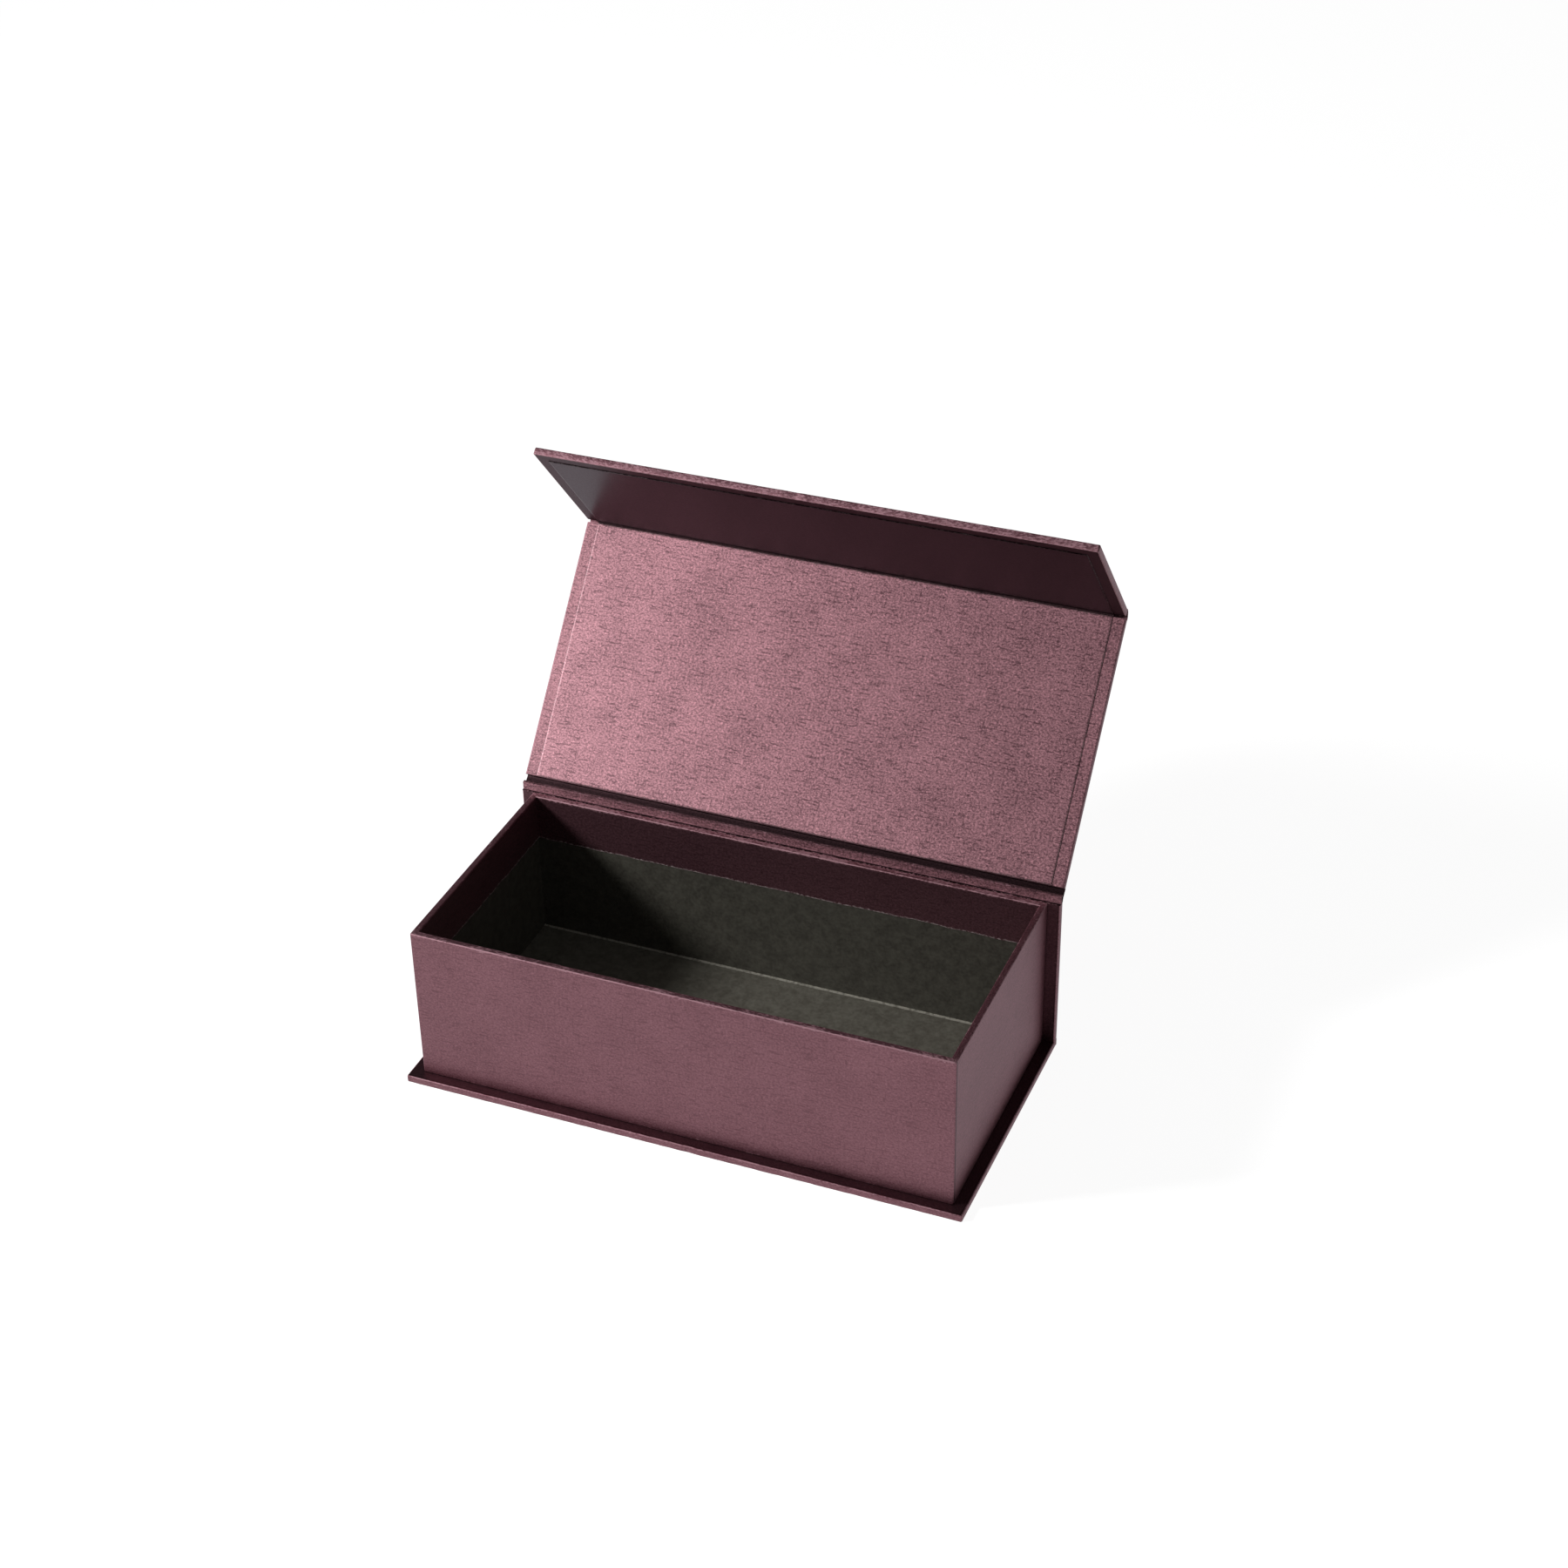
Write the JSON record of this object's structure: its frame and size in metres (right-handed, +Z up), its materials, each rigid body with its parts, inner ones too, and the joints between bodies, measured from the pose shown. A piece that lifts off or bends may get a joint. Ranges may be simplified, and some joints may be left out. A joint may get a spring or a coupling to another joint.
{
  "type": "magnetic gift box",
  "caption": "Book-style rigid gift box: an open paper-lined tray in a wrap-around case, with a hinged lid and a folding front flap that shuts on hidden magnets.",
  "frame": {"origin": "centre of the case's underside, on the plane that the box rests on", "axes": "+X along the width, +Y from the front wall to the spine, +Z up out of the tray"},
  "size_m": [0.23, 0.1862, 0.2098],
  "materials": {
    "linen_paper": "linen-embossed covering paper with a metallic burgundy pearl",
    "liner_paper": "the same linen-embossed burgundy paper, as the inside sheet",
    "grey_board": "matt grey bookbinder's board",
    "dark_lining": "matt mottled olive-black lining paper",
    "gummed_tape": "matt brown gummed tape",
    "strike_steel": "plain zinc-grey sheet steel",
    "magnet": "bright nickel plate"
  },
  "bodies": {
    "box": {"base_board": "grey_board", "base_cover": "linen_paper", "spine_board": "grey_board", "spine_cover": "linen_paper", "tray_floor_board": "grey_board", "tray_front_board": "grey_board", "tray_back_board": "grey_board", "tray_left_board": "grey_board", "tray_right_board": "grey_board", "tray_corner_stays": "gummed_tape", "tray_strike_discs": "strike_steel", "tray_wrap": "linen_paper", "tray_floor_lining": "dark_lining", "tray_front_lining": "dark_lining", "tray_back_lining": "dark_lining", "tray_left_lining": "dark_lining", "tray_right_lining": "dark_lining", "lid_hinge_outer": "linen_paper", "lid_hinge_inner": "linen_paper"},
    "lid": {"lid_board": "grey_board", "lid_cover": "linen_paper", "lid_liner": "liner_paper", "flap_hinge_outer": "linen_paper", "flap_hinge_inner": "liner_paper"},
    "flap": {"flap_board": "grey_board", "flap_cover": "linen_paper", "flap_liner": "liner_paper", "flap_magnets": "magnet"}
  },
  "joints": [
    {"name": "lid_hinge", "type": "hinge", "parent": "box", "child": "lid", "pos_m": [0, 0.05736, 0.0718], "axis": [1, 0, 0], "range_deg": [-72, 130], "deforming": ["lid_hinge_outer", "lid_hinge_inner"]},
    {"name": "flap_fold", "type": "hinge", "parent": "lid", "child": "flap", "pos_m": [0, 0.13086, 0.1576], "axis": [1, 0, 0], "range_deg": [-81.1, 8.9], "deforming": ["flap_hinge_outer", "flap_hinge_inner"]}
  ]
}
